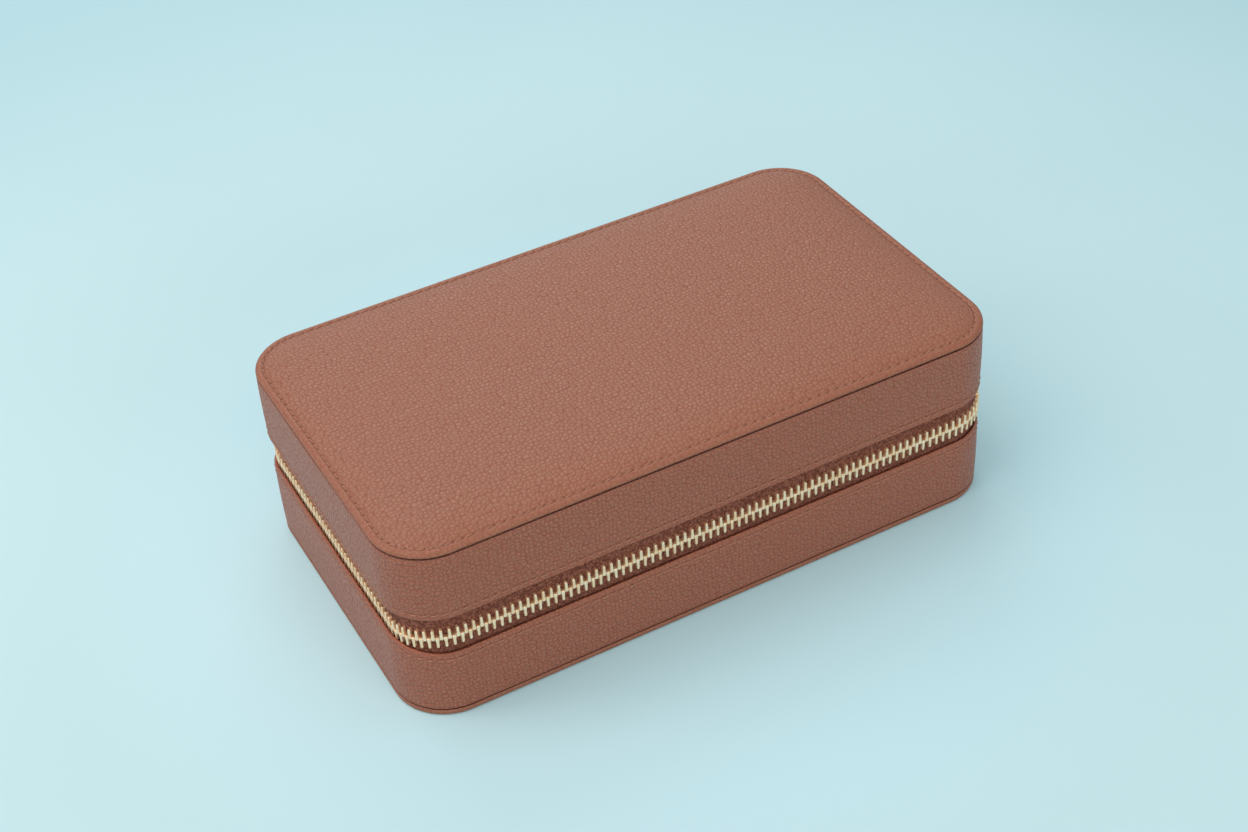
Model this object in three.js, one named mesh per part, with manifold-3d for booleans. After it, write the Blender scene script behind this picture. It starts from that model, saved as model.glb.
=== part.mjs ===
// A zip-around leather jewellery case, closed: a stiffened base and a stiffened lid, joined at the
// back by a leather hinge strip and closed all round by a metal zip with two sliders.
// Millimetres, +Z up. X runs along the long side, the hinge is at +Y, and the origin is at the
// middle of the underside, on the table.
import * as THREE from 'three';
import { mergeVertices } from 'three/addons/utils/BufferGeometryUtils.js';
import Module from 'manifold-3d';

const wasm = await Module();
wasm.setup();

// ---- Driving dimensions -------------------------------------------------------------------
const LENGTH = 200;
const WIDTH = 117;
const HEIGHT = 62;
const CORNER = 17;
const GAP = 0.3;

const PANEL = 2;
const PANEL_EDGE = 0.7;
const ZIP_Z = 30.5;
const BASE_WALL_TOP = 24;
const LID_WALL_FOOT = 37.2;

// Each layer of the wall is measured inwards from the outside of the leather.
const LEATHER = 1;
const BACKED_LEATHER = 1.9;
const TAPE = [LEATHER + GAP, BACKED_LEATHER];
const BOARD = [BACKED_LEATHER + GAP, 4.4];
const LINER = [BOARD[1] + GAP, 5.9];
const TAPE_UNDER_WALL = 3;

const CHAIN_HALF = 3.2;
const CHAIN_DEPTH = 2.9;
const SPINE_HALF = 48;
const BOARD_SHEET = 2;
const PADDING_SHEET = 1.5;
const LINING_SHEET = 1.2;

const DIVIDER = 2;
const DIVIDER_TOP = 26;
const RING_DIVIDER_X = -33;
const CROSS_DIVIDER_X = 30;
const ROLLS = 7;
const ROLL_PITCH = 15;
const ROLL_WIDTH = 14;
const ROLL_HEIGHT = 18;

const TABS = [-55, 0, 55];
const TAB_WIDTH = 10;
const TAB_LENGTH = 22;
const TAB_THICK = 1.4;
const TAB_AXIS_Y = -44;
const SNAP_RADIUS = 4.2;

const SLIDER_LENGTH = 11.5;
const SLIDER_APART = 0.9;
const SLIDER_HALF = 4.3;
const PULL_WIDTH = 5.6;
const PULL_LENGTH = 24;

// ---- Levels worked out from them ----------------------------------------------------------
const WALL_FOOT = PANEL + GAP;
const WALL_TOP = HEIGHT - PANEL - GAP;
const BASE_RIM = ZIP_Z - GAP / 2;
const LID_RIM = ZIP_Z + GAP / 2;
const FLOOR = WALL_FOOT + BOARD_SHEET + GAP + LINING_SHEET;
const PADDING_FOOT = WALL_TOP - PADDING_SHEET;
const CEILING = PADDING_FOOT - GAP - BOARD_SHEET - GAP - LINING_SHEET;
const INSIDE = LINER[1] + GAP;
const ARC_STEPS = 3;

// ---- Colours and materials ----------------------------------------------------------------
const skin = (color, roughness, metalness = 0) =>
  new THREE.MeshStandardMaterial({ color, roughness, metalness });
const leather = () => skin(0x9a6552, 0.55);
const board = () => skin(0x8c8378, 0.9);
const foam = () => skin(0xe6e0d2, 0.95);
const suede = () => skin(0xc9b7a6, 0.95);
const tapeCloth = () => skin(0x64382f, 0.9);
const gold = () => skin(0xd8c48a, 0.3, 1);

const caseParts = new THREE.Group();

function add(name, geometry, material, parent = caseParts) {
  const mesh = new THREE.Mesh(geometry, material);
  mesh.name = name;
  parent.add(mesh);
  return mesh;
}

// ---- Booleans -----------------------------------------------------------------------------
function solid(geometry) {
  const bare = geometry.clone();
  bare.deleteAttribute('normal');
  bare.deleteAttribute('uv');
  const merged = mergeVertices(bare, 1e-4);
  const vertProperties = new Float32Array(merged.attributes.position.array);
  const triVerts = new Uint32Array(merged.index.array);
  return new wasm.Manifold(new wasm.Mesh({ numProp: 3, vertProperties, triVerts }));
}

function geometryOf(manifold) {
  const mesh = manifold.getMesh();
  const geometry = new THREE.BufferGeometry();
  geometry.setAttribute('position', new THREE.BufferAttribute(mesh.vertProperties, 3));
  geometry.setIndex(new THREE.BufferAttribute(mesh.triVerts, 1));
  geometry.computeVertexNormals();
  return geometry;
}

function union(first, ...others) {
  return geometryOf(others.reduce((all, next) => all.add(solid(next)), solid(first)));
}

function cut(first, ...others) {
  return geometryOf(others.reduce((all, next) => all.subtract(solid(next)), solid(first)));
}

// ---- Basic shapes -------------------------------------------------------------------------
function block([x0, x1], [y0, y1], [z0, z1]) {
  const geometry = new THREE.BoxGeometry(x1 - x0, y1 - y0, z1 - z0);
  return geometry.translate((x0 + x1) / 2, (y0 + y1) / 2, (z0 + z1) / 2);
}

// The case's outline in plan, moved inwards by inset.
function outline(inset, Kind = THREE.Shape) {
  const x = LENGTH / 2 - CORNER;
  const y = WIDTH / 2 - CORNER;
  const radius = CORNER - inset;
  const shape = new Kind();
  shape.absarc(x, y, radius, 0, Math.PI / 2);
  shape.absarc(-x, y, radius, Math.PI / 2, Math.PI);
  shape.absarc(-x, -y, radius, Math.PI, 1.5 * Math.PI);
  shape.absarc(x, -y, radius, 1.5 * Math.PI, 2 * Math.PI);
  shape.closePath();
  return shape;
}

function raise(shape, low, high, options = {}) {
  const settings = { depth: high - low, bevelEnabled: false, curveSegments: ARC_STEPS, ...options };
  return new THREE.ExtrudeGeometry(shape, settings).translate(0, 0, low);
}

function sheet(inset, low, high) {
  return raise(outline(inset), low, high);
}

function ring([outer, inner], low, high) {
  const shape = outline(outer);
  shape.holes.push(outline(inner, THREE.Path));
  return raise(shape, low, high);
}

// ---- Outer shell --------------------------------------------------------------------------
// A cover panel is leather turned under all round, so that its edge is rounded.
function coverPanel(low) {
  const edge = PANEL_EDGE;
  return raise(outline(edge), low + edge, low + PANEL - edge, {
    bevelEnabled: true,
    bevelThickness: edge,
    bevelSize: edge,
    bevelSegments: 2,
  });
}

// The wall leather is thick over the board and thin over the edge of the zip tape.
function wallLeather(outerEnd, tapeEdge, zipEnd) {
  const levels = (a, b) => [Math.min(a, b), Math.max(a, b)];
  const thick = ring([0, BACKED_LEATHER], ...levels(outerEnd, tapeEdge));
  const thin = ring([0, LEATHER], ...levels(outerEnd, zipEnd));
  return union(thick, thin);
}

const BASE_TAPE_FOOT = BASE_WALL_TOP - TAPE_UNDER_WALL;
const LID_TAPE_TOP = LID_WALL_FOOT + TAPE_UNDER_WALL;

function outerShell() {
  add('bottom_panel', coverPanel(0), leather());
  add('base_wall_leather', wallLeather(WALL_FOOT, BASE_TAPE_FOOT - GAP, BASE_WALL_TOP), leather());
  add('lid_wall_leather', wallLeather(WALL_TOP, LID_TAPE_TOP + GAP, LID_WALL_FOOT), leather());
  add('top_panel', coverPanel(HEIGHT - PANEL), leather());
}

// ---- Stiffening boards, padding and linings -------------------------------------------------
function boards() {
  add('bottom_board', sheet(LINER[0], WALL_FOOT, WALL_FOOT + BOARD_SHEET), board());
  add('base_wall_board', ring(BOARD, WALL_FOOT, BASE_WALL_TOP), board());
  add('lid_wall_board', ring(BOARD, LID_WALL_FOOT, WALL_TOP), board());
  add('top_padding', sheet(LINER[0], PADDING_FOOT, WALL_TOP), foam());
  add('top_board', sheet(LINER[0], PADDING_FOOT - GAP - BOARD_SHEET, PADDING_FOOT - GAP), board());
}

function linings() {
  const floorFoot = FLOOR - LINING_SHEET;
  const ceilingTop = CEILING + LINING_SHEET;
  add('base_lining_wall', ring(LINER, floorFoot, BASE_RIM), suede());
  add('base_lining_floor', sheet(INSIDE, floorFoot, FLOOR), suede());
  add('lid_lining_wall', ring(LINER, LID_RIM, ceilingTop), suede());
  add('lid_lining_ceiling', sheet(INSIDE, CEILING, ceilingTop), suede());
}

// ---- Zip ----------------------------------------------------------------------------------
const BACK = WIDTH / 2;
const SIDE = LENGTH / 2;

// The zip stops at each end of the hinge strip.
function alongZip(band) {
  const end = SPINE_HALF + GAP;
  return cut(band, block([-end, end], [BACK - 10, BACK + 10], [0, HEIGHT]));
}

// The two rows part a little round the sliders' posts.
function toothRow(low, high) {
  const reach = SLIDER_APART / 2 + 4.5;
  const posts = block([SIDE - 10, SIDE + 10], [-reach, reach], [ZIP_Z - 1.7, ZIP_Z + 1.7]);
  return cut(alongZip(ring([0, CHAIN_DEPTH], low, high)), posts);
}

function zip() {
  const teethFoot = ZIP_Z - CHAIN_HALF;
  const teethTop = ZIP_Z + CHAIN_HALF;
  add('base_zip_tape', alongZip(ring(TAPE, BASE_TAPE_FOOT, teethFoot - GAP)), tapeCloth());
  add('lid_zip_tape', alongZip(ring(TAPE, teethTop + GAP, LID_TAPE_TOP)), tapeCloth());
  add('base_zip_teeth', toothRow(teethFoot, BASE_RIM), gold());
  add('lid_zip_teeth', toothRow(LID_RIM, teethTop), gold());
}

// The hinge strip is flush with the walls between them, and its thinner edges go under them.
function hingeStrip() {
  const bulge = [BASE_WALL_TOP + GAP, LID_WALL_FOOT - GAP];
  const face = block([-SPINE_HALF, SPINE_HALF], [BACK - TAPE[1], BACK], bulge);
  const sewn = block([-SPINE_HALF, SPINE_HALF], [BACK - TAPE[1], BACK - TAPE[0]],
    [BASE_TAPE_FOOT, LID_TAPE_TOP]);
  add('hinge_strip', union(face, sewn), leather());
}

// ---- Sliders and pulls --------------------------------------------------------------------
// A slider is drawn with X along the zip, its wide nose at +X, Y across the zip, and Z out of
// the wall. Z = 0 is the outer face of the teeth.
const PLATE = [GAP, 1.5];
const INNER_PLATE = [-CHAIN_DEPTH - GAP - 1.2, -CHAIN_DEPTH - GAP];
const BAR_Z = 3.8;
const BAR_HALF = 0.7;

function plateShape() {
  const nose = SLIDER_LENGTH / 2;
  const points = [[-nose, 3.9], [-nose + 1, SLIDER_HALF], [nose - 1.2, 4.9], [nose, 3.6]];
  const mirrored = points.map(([x, y]) => [x, -y]).reverse();
  return new THREE.Shape([...points, ...mirrored].map(([x, y]) => new THREE.Vector2(x, y)));
}

function sliderFlanges() {
  const along = [-SLIDER_LENGTH / 2 + 0.6, 2];
  const across = [CHAIN_HALF + 0.4, SLIDER_HALF];
  const outer = [-TAPE[0] + GAP, PLATE[0] + 0.1];
  const inner = [INNER_PLATE[1] - 0.1, -TAPE[1] - GAP];
  const both = [across, across.map((y) => -y).reverse()];
  return both.flatMap((y) => [block(along, y, outer), block(along, y, inner)]);
}

// The bridge is an arch along the slider, and the pull's loop goes through it.
function sliderBridge() {
  const end = 4.7;
  const leg = 1.1;
  const legs = [PLATE[1] - 0.1, BAR_Z + BAR_HALF];
  return [
    block([-end, -end + leg], [-1.1, 1.1], legs),
    block([end - leg, end], [-1.1, 1.1], legs),
    block([-end, end], [-BAR_HALF, BAR_HALF], [BAR_Z - BAR_HALF, BAR_Z + BAR_HALF]),
  ];
}

function sliderCasting() {
  const post = block([2.2, 4.6], [-1.3, 1.3], [INNER_PLATE[1] - 0.1, PLATE[0] + 0.1]);
  return union(
    raise(plateShape(), ...PLATE),
    raise(plateShape(), ...INNER_PLATE),
    post,
    ...sliderFlanges(),
    ...sliderBridge(),
  );
}

// The pull is a strap folded round the bridge's bar. In its outline X is out of the wall and Y
// is up, with the bar's middle at 0,0.
function pullShape() {
  const loop = 2;
  const strapIn = -loop;
  const strapOut = -loop + 1.6;
  const shape = new THREE.Shape();
  shape.moveTo(strapIn, 0);
  shape.lineTo(strapIn, -PULL_LENGTH);
  shape.lineTo(strapOut, -PULL_LENGTH);
  shape.lineTo(strapOut, -4.2);
  shape.lineTo(loop, -0.6);
  shape.absarc(0, 0, loop, 0, Math.PI);
  const eye = new THREE.Path();
  eye.absarc(0, 0, 1.3, 0, 2 * Math.PI);
  shape.holes.push(eye);
  return shape;
}

function zipSlider(name, y, turned) {
  const group = new THREE.Group();
  const axes = new THREE.Matrix4().makeBasis(
    new THREE.Vector3(0, turned ? -1 : 1, 0),
    new THREE.Vector3(0, 0, turned ? -1 : 1),
    new THREE.Vector3(1, 0, 0),
  );
  group.quaternion.setFromRotationMatrix(axes);
  group.position.set(SIDE, y, ZIP_Z);
  caseParts.add(group);
  add(`${name}_slider`, sliderCasting(), gold(), group);

  const strap = raise(pullShape(), -PULL_WIDTH / 2, PULL_WIDTH / 2, { curveSegments: 6 });
  const pull = add(`${name}_pull`, strap, leather());
  pull.rotation.x = Math.PI / 2;
  pull.position.set(SIDE + BAR_Z, y, ZIP_Z);
}

function sliders() {
  const place = (SLIDER_LENGTH + SLIDER_APART) / 2;
  zipSlider('front', -place, false);
  zipSlider('rear', place, true);
}

// ---- Inside the base ----------------------------------------------------------------------
const REACH_X = SIDE - INSIDE;
const REACH_Y = BACK - INSIDE;

function dividers() {
  const height = [FLOOR + GAP, DIVIDER_TOP];
  const around = (x) => [x - DIVIDER / 2, x + DIVIDER / 2];
  const pastRings = RING_DIVIDER_X + DIVIDER / 2 + GAP;
  add('ring_divider', block(around(RING_DIVIDER_X), [-REACH_Y, REACH_Y], height), suede());
  add('long_divider', block([pastRings, REACH_X], around(0), height), suede());
  const frontPart = [-REACH_Y, -DIVIDER / 2 - GAP];
  add('cross_divider', block(around(CROSS_DIVIDER_X), frontPart, height), suede());
}

// A roll is drawn standing up in X and Y, and turned to lie along the case. The outer two rolls
// start where the case's corners end.
function ringRoll(outermost) {
  const soft = 1.5;
  const radius = ROLL_WIDTH / 2 - soft;
  const flat = ROLL_HEIGHT / 2 - ROLL_WIDTH / 2;
  const shape = new THREE.Shape();
  shape.absarc(0, flat, radius, 0, Math.PI);
  shape.absarc(0, -flat, radius, Math.PI, 2 * Math.PI);
  shape.closePath();
  const left = outermost ? CORNER - SIDE - 1 : 0.5 - REACH_X;
  const right = RING_DIVIDER_X - DIVIDER / 2 - GAP;
  const bevel = { bevelEnabled: true, bevelThickness: soft, bevelSize: soft, bevelSegments: 2 };
  const roll = raise(shape, left + soft, right - soft, { curveSegments: 4, ...bevel });
  return roll.rotateX(Math.PI / 2).rotateZ(Math.PI / 2);
}

function ringRolls() {
  for (let i = 0; i < ROLLS; i += 1) {
    const outermost = i === 0 || i === ROLLS - 1;
    const roll = add(`ring_roll_${i + 1}`, ringRoll(outermost), suede());
    const y = (i - (ROLLS - 1) / 2) * ROLL_PITCH;
    roll.position.set(0, y, FLOOR + GAP + ROLL_HEIGHT / 2);
  }
}

// ---- Inside the lid -----------------------------------------------------------------------
const SOCKET_FOOT = CEILING - GAP - 1;
const TAB_TOP = SOCKET_FOOT - GAP;
const TAB_AXIS_Z = TAB_TOP - TAB_THICK / 2;

// The pocket is open towards the front, and lies against the ceiling lining.
function pocket() {
  const top = CEILING - GAP;
  const foot = top - 7;
  const outside = block([-85, 85], [8, 50], [foot, top]);
  const inside = block([-84, 84], [0, 49], [foot + 1, top + 1]);
  add('lid_pocket', cut(outside, inside), suede());
}

// A tab is a short strap that turns about its sewn front edge.
function tabStrap(x) {
  const radius = TAB_THICK / 2;
  const shape = new THREE.Shape();
  shape.absarc(0, 0, radius, 0.5 * Math.PI, 1.5 * Math.PI);
  shape.absarc(TAB_LENGTH - radius, 0, radius, 1.5 * Math.PI, 2.5 * Math.PI);
  shape.closePath();
  const strap = raise(shape, -TAB_WIDTH / 2, TAB_WIDTH / 2, { curveSegments: 3 });
  strap.rotateX(Math.PI / 2).rotateZ(Math.PI / 2);
  return strap.translate(x, TAB_AXIS_Y, TAB_AXIS_Z);
}

function disc(x, y, low, high, radius) {
  const puck = new THREE.CylinderGeometry(radius, radius, high - low, 16);
  return puck.rotateX(Math.PI / 2).translate(x, y, (low + high) / 2);
}

function necklaceTabs() {
  const snapY = TAB_AXIS_Y + TAB_LENGTH - SNAP_RADIUS - 1;
  const welt = block([-62, 62], [-50, TAB_AXIS_Y - TAB_THICK / 2 - GAP], [TAB_TOP - TAB_THICK, CEILING - GAP]);
  add('tab_welt', welt, leather());
  TABS.forEach((x, i) => {
    const capTop = TAB_TOP - TAB_THICK - GAP;
    add(`necklace_tab_${i + 1}`, tabStrap(x), leather());
    add(`snap_cap_${i + 1}`, disc(x, snapY, capTop - 1, capTop, SNAP_RADIUS), gold());
    add(`snap_socket_${i + 1}`, disc(x, snapY, SOCKET_FOOT, SOCKET_FOOT + 1, SNAP_RADIUS - 0.7), gold());
  });
}

outerShell();
boards();
linings();
zip();
hingeStrip();
sliders();
dividers();
ringRolls();
pocket();
necklaceTabs();

export default caseParts;
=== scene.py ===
"""A zip-around leather jewellery case: its looks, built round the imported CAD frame."""

import math

import bmesh
import bpy
import numpy as np
from mathutils import Matrix, Vector, noise


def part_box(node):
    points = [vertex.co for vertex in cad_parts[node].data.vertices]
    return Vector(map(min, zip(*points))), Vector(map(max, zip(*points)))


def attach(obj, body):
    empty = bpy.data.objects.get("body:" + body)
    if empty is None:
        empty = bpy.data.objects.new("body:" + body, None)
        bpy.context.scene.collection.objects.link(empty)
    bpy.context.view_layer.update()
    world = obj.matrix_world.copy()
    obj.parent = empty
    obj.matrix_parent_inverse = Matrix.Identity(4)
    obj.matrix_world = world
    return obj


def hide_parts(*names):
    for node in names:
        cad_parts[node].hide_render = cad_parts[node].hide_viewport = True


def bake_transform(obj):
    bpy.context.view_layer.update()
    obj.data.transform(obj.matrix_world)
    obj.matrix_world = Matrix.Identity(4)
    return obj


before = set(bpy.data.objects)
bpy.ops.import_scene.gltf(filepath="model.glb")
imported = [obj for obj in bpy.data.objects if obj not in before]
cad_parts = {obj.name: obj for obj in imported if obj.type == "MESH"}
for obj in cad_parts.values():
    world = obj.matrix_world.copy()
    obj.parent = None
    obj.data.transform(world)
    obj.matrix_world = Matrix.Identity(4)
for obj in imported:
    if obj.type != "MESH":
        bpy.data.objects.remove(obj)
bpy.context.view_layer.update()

# Shapes below are in millimetres, in the frame's axes, and become metres as meshes are made.
MM = 0.001


def box_mm(node):
    low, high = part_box(node)
    return np.array(low) / MM, np.array(high) / MM


def levels(node):
    low, high = box_mm(node)
    return low[2], high[2]


# ---- Sizes taken from the frame -------------------------------------------------------------
HALF_X, HALF_Y = box_mm("bottom_panel")[1][:2]
CORNER = 17.0
BOTTOM_SEAM = levels("bottom_panel")[1]
BASE_FOOT, BASE_TOP = levels("base_wall_leather")
LID_FOOT, LID_TOP = levels("lid_wall_leather")
TOP_SEAM, TOP = levels("top_panel")
ZIP_Z = (levels("base_zip_teeth")[1] + levels("lid_zip_teeth")[0]) / 2
SPINE = box_mm("hinge_strip")[1][0]
TAPE_FOOT, TAPE_TOP = levels("base_zip_tape")[0], levels("lid_zip_tape")[1]
# How far inside the outline the linings' inner and outer faces lie, and where one becomes the
# other.
LINER_IN = 5.9
LINER_OUT = 4.7
LINER_FACE = 5.2

TOOTH_PITCH = 2.416
STITCH_PITCH = 3.0


# ---- The track round the case ---------------------------------------------------------------
# Distance along it starts at the middle of the back and goes past the right-hand side, the
# front and the left-hand side.
def track_pieces():
    x, y, turn = HALF_X - CORNER, HALF_Y - CORNER, CORNER * math.pi / 2
    corners = [(x, y, 90), (x, -y, 0), (-x, -y, -90), (-x, y, -180)]
    straights = [(0, x), (y, -y), (x, -x), (-y, y), (-x, 0)]
    pieces, at = [], 0.0
    for i, (start, end) in enumerate(straights):
        pieces.append((at, abs(end - start), "straight", (i, start, end)))
        at += abs(end - start)
        if i < 4:
            pieces.append((at, turn, "corner", corners[i]))
            at += turn
    return pieces, at


TRACK, TRACK_LENGTH = track_pieces()
SIDE_NORMALS = [(0, 1), (1, 0), (0, -1), (-1, 0), (0, 1)]


def on_track(distance):
    """Points on the case's outline and their outward normals, at these distances along it."""
    distance = np.mod(np.atleast_1d(np.asarray(distance, float)), TRACK_LENGTH)
    points, normals = np.zeros((len(distance), 2)), np.zeros((len(distance), 2))
    for start, length, kind, shape in TRACK:
        here = (distance >= start - 1e-9) & (distance <= start + length + 1e-9)
        share = (distance[here] - start) / length
        if kind == "corner":
            x, y, degrees = shape
            angle = np.radians(degrees - 90 * share)
            normal = np.stack([np.cos(angle), np.sin(angle)], 1)
            points[here] = np.array([x, y]) + CORNER * normal
        else:
            side, first, last = shape
            normal = np.array(SIDE_NORMALS[side], float)
            along = first + (last - first) * share
            edge = np.where(normal == 0, 0, normal * [HALF_X, HALF_Y])
            points[here] = edge + along[:, None] * (normal == 0)
        normals[here] = normal
    return points, normals


def stations(start=0.0, end=None, straight_step=4.0, corner_step=0.9):
    """Distances along the track, close together in the corners."""
    end = TRACK_LENGTH if end is None else end
    found = [start, end]
    for at, length, kind, _ in TRACK:
        count = max(1, round(length / (corner_step if kind == "corner" else straight_step)))
        found += list(np.linspace(at, at + length, count + 1))
    found = np.unique(np.round(found, 5))
    return found[(found >= start - 1e-6) & (found <= end + 1e-6)]


ZIP_START = SPINE + 0.3
ZIP_END = TRACK_LENGTH - SPINE - 0.3
RIGHT_MIDDLE = HALF_X - CORNER + CORNER * math.pi / 2 + HALF_Y - CORNER
LEFT_MIDDLE = TRACK_LENGTH - RIGHT_MIDDLE


# ---- Points ---------------------------------------------------------------------------------
def points_at(x, y, z):
    """Points from their coordinates, any of which may be one number for them all."""
    return np.stack(np.broadcast_arrays(x, y, z), -1)


def unit(vectors):
    return vectors / np.linalg.norm(vectors, axis=-1, keepdims=True)


def circle_angles(count):
    return np.linspace(0, 2 * math.pi, count, endpoint=False)


def squared_off(values, power):
    """Sines or cosines of a circle's angles, changed to those of a rounded square."""
    return np.sign(values) * np.abs(values) ** power


# ---- Meshes ---------------------------------------------------------------------------------
def object_from(name, points, faces, material, smooth=True):
    mesh = bpy.data.meshes.new(name)
    mesh.from_pydata((np.asarray(points, float) * MM).tolist(), [], faces)
    mesh.materials.append(material)
    mesh.polygons.foreach_set("use_smooth", [smooth] * len(mesh.polygons))
    piece = bpy.data.objects.new(name, mesh)
    bpy.context.scene.collection.objects.link(piece)
    return piece


def face_outwards(piece):
    work = bmesh.new()
    work.from_mesh(piece.data)
    bmesh.ops.recalc_face_normals(work, faces=work.faces)
    work.to_mesh(piece.data)
    work.free()


def grid(name, points, along, across, material, wrap_along=False, wrap_across=True,
         marks=None, grain=None):
    """A closed mesh from a grid of points. along and across are the grain map's millimetres,
    with one more value than rows or columns where the grid closes on itself, and grain is the
    map itself where it isn't so simple. marks gives each column's distance from its stitch
    line, how much of a turned edge it is, how much painted shadow it takes in the seam, and
    the stitches' pitch."""
    rows, columns = points.shape[:2]
    index = np.arange(rows * columns).reshape(rows, columns)
    faces, corners = [], []
    for i in range(rows if wrap_along else rows - 1):
        for j in range(columns if wrap_across else columns - 1):
            near, far = (j, (j + 1) % columns), (i, (i + 1) % rows)
            faces.append([int(index[far[0], near[0]]), int(index[far[1], near[0]]),
                          int(index[far[1], near[1]]), int(index[far[0], near[1]])])
            corners += [(i, j), (i + 1, j), (i + 1, j + 1), (i, j + 1)]
    if wrap_across and not wrap_along:
        for row in (0, rows - 1):
            faces.append([int(k) for k in index[row]])
            corners += [(row, j) for j in range(columns)]
    if wrap_along and not wrap_across:
        for column in (0, columns - 1):
            faces.append([int(k) for k in index[:, column]])
            corners += [(i, column) for i in range(rows)]
    piece = object_from(name, points.reshape(-1, 3), faces, material)
    corners = np.array(corners)
    if grain is None:
        u, v = np.asarray(along)[corners[:, 0]], np.asarray(across)[corners[:, 1]]
    else:
        u, v = grain[corners[:, 0] % rows, corners[:, 1] % columns].T
    add_map(piece, "grain", u, v)
    if marks is not None:
        line, edge, seam_shadow_share, pitch = marks
        line = np.append(line, line[0]) if wrap_across else np.asarray(line)
        steps = (np.asarray(along) - along[0]) / pitch
        add_map(piece, "stitch", steps[corners[:, 0]], line[corners[:, 1]])
        add_float(piece, "turned_edge", np.tile(edge, rows))
        add_float(piece, "painted_seam_shadow", np.tile(seam_shadow_share, rows))
    face_outwards(piece)
    return piece


def add_map(piece, name, u, v):
    layer = piece.data.uv_layers.new(name=name)
    layer.uv.foreach_set("vector", np.stack([u, v], 1).astype(np.float32).ravel())


def add_float(piece, name, values):
    attribute = piece.data.attributes.new(name, "FLOAT", "POINT")
    attribute.data.foreach_set("value", np.asarray(values, np.float32))


def lengths_of(profile):
    ring = np.vstack([profile, profile[:1]])
    return np.concatenate([[0], np.cumsum(np.linalg.norm(np.diff(ring, axis=0), axis=1))])


def sweep(name, profile, material, ripple, distance=None, marks=None):
    """Carries a closed profile of (inset, z) points round the case, or only to these
    distances along the track. ripple moves the points from there."""
    profile = np.asarray(profile, float)
    whole = distance is None
    along = stations() if whole else np.asarray(distance)
    distance = along[:-1] if whole else along
    base, normal = on_track(distance)
    inset = np.tile(profile[:, 0], (len(distance), 1))
    height = np.tile(profile[:, 1], (len(distance), 1))
    inset, height = ripple(distance, inset, height)
    flat = base[:, None] - normal[:, None] * inset[:, :, None]
    points = np.concatenate([flat, height[:, :, None]], 2)
    return grid(name, points, along, lengths_of(profile), material, whole, True, marks)


def tube_faces(rings, around):
    """The faces of a tube made of rings, with both its ends closed."""
    faces = [[i * around + j, i * around + (j + 1) % around,
              (i + 1) * around + (j + 1) % around, (i + 1) * around + j]
             for i in range(rings - 1) for j in range(around)]
    last = (rings - 1) * around
    return faces + [list(range(around))[::-1], list(range(last, last + around))]


def repeated(faces, copies, size):
    """The same faces again for each copy of a solid that has size points."""
    return [[n * size + v for v in face] for n in range(copies) for face in faces]


def arc(centre, radius, start, end, steps):
    """Profile points on an arc; degrees run from the inset axis towards z."""
    angles = np.radians(np.linspace(start, end, steps + 1))
    return [(centre[0] + radius * math.cos(a), centre[1] + radius * math.sin(a)) for a in angles]


# ---- Threads and stitches -------------------------------------------------------------------
THREAD_RADIUS = 0.23
STITCH_SIDES = 6
STITCH_STEPS = 7


def stitches(name, centres, tangents, outs, material, length=2.35, lift=0.16, slant=7):
    """One short bulging thread at each centre, its two ends diving into the leather. tangents
    and outs may be one direction for them all."""
    centres, tangents, outs = np.broadcast_arrays(
        *(np.asarray(a, float) for a in (centres, tangents, outs)))
    sides = np.cross(outs, tangents)
    lean = math.radians(slant)
    tangents = tangents * math.cos(lean) + sides * math.sin(lean)
    sides = np.cross(outs, tangents)
    share = np.linspace(-1, 1, STITCH_STEPS)
    rise = lift * (1 - share**2) - 0.6 * THREAD_RADIUS * share**4 - 0.04
    thick = THREAD_RADIUS * np.sqrt(1 - (0.93 * share) ** 4)
    angle = circle_angles(STITCH_SIDES)
    points = (centres[:, None, None]
              + tangents[:, None, None] * (share * length / 2)[None, :, None, None]
              + outs[:, None, None] * rise[None, :, None, None]
              + outs[:, None, None] * (thick[:, None] * np.sin(angle))[None, :, :, None]
              + sides[:, None, None] * (thick[:, None] * np.cos(angle))[None, :, :, None])
    faces = repeated(tube_faces(STITCH_STEPS, STITCH_SIDES), len(centres),
                     STITCH_STEPS * STITCH_SIDES)
    piece = object_from(name, points.reshape(-1, 3), faces, material)
    face_outwards(piece)
    return piece


def stitch_pitch(inset):
    """The pitch, measured on the outline, of a whole number of stitches round the case."""
    return TRACK_LENGTH / round((TRACK_LENGTH - inset * 2 * math.pi) / STITCH_PITCH)


def seam_stitches(name, inset, z, facing, material, reach=0.0):
    """Stitches round the case. facing is "out" on a wall, or "up" or "down" on a panel. reach
    is how far they shift where the zip is tucked in."""
    pitch = stitch_pitch(inset)
    at = (np.arange(round(TRACK_LENGTH / pitch)) + 0.5) * pitch
    base, normal = on_track(at)
    x, y = (base - normal * inset).T
    centre = points_at(x, y, z + reach * tucked(at))
    tangent = points_at(normal[:, 1], -normal[:, 0], 0.0)
    out = {"out": points_at(*normal.T, 0.0), "up": (0, 0, 1), "down": (0, 0, -1)}[facing]
    return stitches(name, centre, tangent, out, material)


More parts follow.
